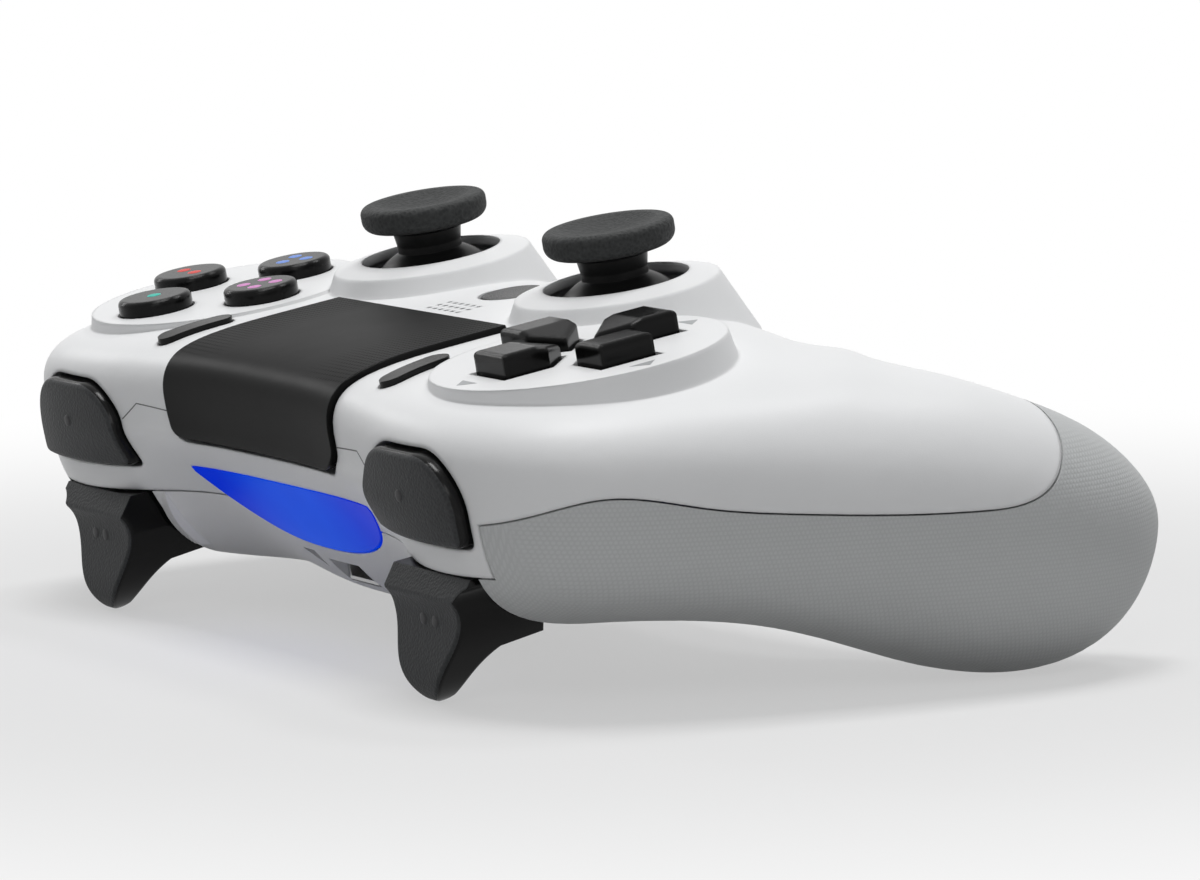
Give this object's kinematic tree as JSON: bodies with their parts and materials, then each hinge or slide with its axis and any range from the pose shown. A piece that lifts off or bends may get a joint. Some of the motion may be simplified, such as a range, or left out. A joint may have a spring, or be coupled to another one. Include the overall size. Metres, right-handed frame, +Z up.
{
  "type": "gamepad controller",
  "caption": "Two-handed wireless gamepad with twin thumb sticks, direction keys, face buttons, touch surface, light bar, shoulder buttons and triggers.",
  "frame": {"origin": "under the middle of the controller's box, on the surface that it rests on", "axes": "+X to the player's right, +Y forward to the triggers, +Z up; the controller rests on its trigger tips and grips, its button deck tipped 9.7 degrees forward"},
  "size_m": [0.1618, 0.0964, 0.0558],
  "materials": {
    "shell_white": "smooth fine-grained moulded plastic",
    "shell_grip": "fine dotted grip texture",
    "dark_plastic": "fine-grained, satin on the working face",
    "touch_film": "fine dot texture, satin",
    "gloss_black": "polished",
    "stick_rubber": "grained rubber",
    "light_blue": "lit translucent plastic",
    "soft_pad": "moulded silicone",
    "frame_plastic": "moulded glass-filled plastic",
    "board_green": "lacquered circuit board",
    "cell_wrap": "battery sleeve",
    "steel": "plated steel",
    "motor_steel": "drawn motor can",
    "weight_metal": "sintered metal",
    "sensor_green": "moulded sensor housing"
  },
  "bodies": {
    "casing": {"front_shell": "shell_white", "rear_shell": "shell_grip", "mid_frame": "frame_plastic", "main_board": "board_green", "battery_pack": "cell_wrap", "light_bar_lens": "light_blue", "light_bar_board": "board_green", "usb_socket": "steel", "usb_board": "board_green", "headset_jack": "gloss_black", "accessory_port": "gloss_black", "speaker": "frame_plastic", "dpad_pad": "soft_pad", "button_pad": "soft_pad", "case_screws": "steel", "left_trigger_pin": "steel", "left_trigger_spring": "steel", "left_motor_can": "motor_steel", "left_stick_base": "steel", "left_stick_sensors": "sensor_green", "right_trigger_pin": "steel", "right_trigger_spring": "steel", "right_motor_can": "motor_steel", "right_stick_base": "steel", "right_stick_sensors": "sensor_green"},
    "touch_pad": {"touch_surface": "touch_film", "touch_board": "board_green"},
    "dpad_rocker": {"dpad_saddle": "frame_plastic"},
    "dpad_keys": {"dpad": "gloss_black"},
    "home_key": {"home_button": "gloss_black"},
    "left_shoulder": {"left_bumper": "dark_plastic"},
    "left_trigger_lever": {"left_trigger": "dark_plastic"},
    "left_menu_key": {"left_menu_button": "dark_plastic"},
    "left_rumble_weight": {"left_motor_weight": "weight_metal"},
    "left_gimbal_yoke": {"left_stick_yoke": "frame_plastic"},
    "left_gimbal_carriage": {"left_stick_carriage": "frame_plastic"},
    "left_thumb_stick": {"left_stick_lever": "steel", "left_stick_post": "dark_plastic", "left_stick_cap": "stick_rubber"},
    "right_shoulder": {"right_bumper": "dark_plastic"},
    "right_trigger_lever": {"right_trigger": "dark_plastic"},
    "right_menu_key": {"right_menu_button": "dark_plastic"},
    "right_rumble_weight": {"right_motor_weight": "weight_metal"},
    "right_gimbal_yoke": {"right_stick_yoke": "frame_plastic"},
    "right_gimbal_carriage": {"right_stick_carriage": "frame_plastic"},
    "right_thumb_stick": {"right_stick_lever": "steel", "right_stick_post": "dark_plastic", "right_stick_cap": "stick_rubber"},
    "face_key_front": {"button_front": "gloss_black"},
    "face_key_outer": {"button_outer": "gloss_black"},
    "face_key_rear": {"button_rear": "gloss_black"},
    "face_key_inner": {"button_inner": "gloss_black"}
  },
  "joints": [
    {"name": "left_bumper_press", "type": "slide", "parent": "casing", "child": "left_shoulder", "axis": [0, -0.9857, 0.1685], "range_m": [0, 0.0009], "stiffness_N_per_m": 600, "springref_m": -0.0009},
    {"name": "left_trigger_pull", "type": "hinge", "parent": "casing", "child": "left_trigger_lever", "pos_m": [0, 0.03655, 0.01981], "axis": [1, 0, 0], "range_deg": [-18, 0], "stiffness_Nm_per_rad": 0.04, "springref_deg": 20.05},
    {"name": "left_menu_press", "type": "slide", "parent": "casing", "child": "left_menu_key", "axis": [0, -0.1685, -0.9857], "range_m": [0, 0.0008], "stiffness_N_per_m": 500, "springref_m": -0.0005},
    {"name": "left_weight_spin", "type": "hinge", "parent": "casing", "child": "left_rumble_weight", "pos_m": [-0.0635, -0.0096, 0.04657], "axis": [0, 0.1685, 0.9857], "continuous": true},
    {"name": "left_stick_tilt_forward", "type": "hinge", "parent": "casing", "child": "left_gimbal_yoke", "pos_m": [-0.0246, 0.00249, 0.03841], "axis": [1, 0, 0], "range_deg": [-15, 15], "stiffness_Nm_per_rad": 0.03},
    {"name": "left_stick_tilt_side", "type": "hinge", "parent": "left_gimbal_yoke", "child": "left_gimbal_carriage", "pos_m": [-0.0246, 0.00249, 0.03841], "axis": [0, 0.9857, -0.1685], "range_deg": [-15, 15], "stiffness_Nm_per_rad": 0.03},
    {"name": "left_stick_click", "type": "slide", "parent": "left_gimbal_carriage", "child": "left_thumb_stick", "axis": [0, -0.1685, -0.9857], "range_m": [0, 0.0005], "stiffness_N_per_m": 1500, "springref_m": -0.0005},
    {"name": "right_bumper_press", "type": "slide", "parent": "casing", "child": "right_shoulder", "axis": [0, -0.9857, 0.1685], "range_m": [0, 0.0009], "stiffness_N_per_m": 600, "springref_m": -0.0009},
    {"name": "right_trigger_pull", "type": "hinge", "parent": "casing", "child": "right_trigger_lever", "pos_m": [0, 0.03655, 0.01981], "axis": [1, 0, 0], "range_deg": [-18, 0], "stiffness_Nm_per_rad": 0.04, "springref_deg": 20.05},
    {"name": "right_menu_press", "type": "slide", "parent": "casing", "child": "right_menu_key", "axis": [0, -0.1685, -0.9857], "range_m": [0, 0.0008], "stiffness_N_per_m": 500, "springref_m": -0.0005},
    {"name": "right_weight_spin", "type": "hinge", "parent": "casing", "child": "right_rumble_weight", "pos_m": [0.0635, -0.0096, 0.04657], "axis": [0, 0.1685, 0.9857], "continuous": true},
    {"name": "right_stick_tilt_forward", "type": "hinge", "parent": "casing", "child": "right_gimbal_yoke", "pos_m": [0.0246, 0.00249, 0.03841], "axis": [1, 0, 0], "range_deg": [-15, 15], "stiffness_Nm_per_rad": 0.03},
    {"name": "right_stick_tilt_side", "type": "hinge", "parent": "right_gimbal_yoke", "child": "right_gimbal_carriage", "pos_m": [0.0246, 0.00249, 0.03841], "axis": [0, 0.9857, -0.1685], "range_deg": [-15, 15], "stiffness_Nm_per_rad": 0.03},
    {"name": "right_stick_click", "type": "slide", "parent": "right_gimbal_carriage", "child": "right_thumb_stick", "axis": [0, -0.1685, -0.9857], "range_m": [0, 0.0005], "stiffness_N_per_m": 1500, "springref_m": -0.0005},
    {"name": "button_front_press", "type": "slide", "parent": "casing", "child": "face_key_front", "axis": [0, -0.1685, -0.9857], "range_m": [0, 0.0013], "stiffness_N_per_m": 400, "springref_m": -0.0006},
    {"name": "button_outer_press", "type": "slide", "parent": "casing", "child": "face_key_outer", "axis": [0, -0.1685, -0.9857], "range_m": [0, 0.0013], "stiffness_N_per_m": 400, "springref_m": -0.0006},
    {"name": "button_rear_press", "type": "slide", "parent": "casing", "child": "face_key_rear", "axis": [0, -0.1685, -0.9857], "range_m": [0, 0.0013], "stiffness_N_per_m": 400, "springref_m": -0.0006},
    {"name": "button_inner_press", "type": "slide", "parent": "casing", "child": "face_key_inner", "axis": [0, -0.1685, -0.9857], "range_m": [0, 0.0013], "stiffness_N_per_m": 400, "springref_m": -0.0006},
    {"name": "home_press", "type": "slide", "parent": "casing", "child": "home_key", "axis": [0, -0.1685, -0.9857], "range_m": [0, 0.0008], "stiffness_N_per_m": 500, "springref_m": -0.0005},
    {"name": "dpad_rock_forward", "type": "hinge", "parent": "casing", "child": "dpad_rocker", "pos_m": [-0.048, 0.02225, 0.03706], "axis": [1, 0, 0], "range_deg": [-4, 4], "stiffness_Nm_per_rad": 0.05},
    {"name": "dpad_rock_side", "type": "hinge", "parent": "dpad_rocker", "child": "dpad_keys", "pos_m": [-0.048, 0.02225, 0.03706], "axis": [0, 0.9857, -0.1685], "range_deg": [-4, 4], "stiffness_Nm_per_rad": 0.05},
    {"name": "touch_click", "type": "hinge", "parent": "casing", "child": "touch_pad", "pos_m": [0, 0.01871, 0.04071], "axis": [1, 0, 0], "range_deg": [-0.9, 0], "stiffness_Nm_per_rad": 6, "springref_deg": 0.34}
  ]
}
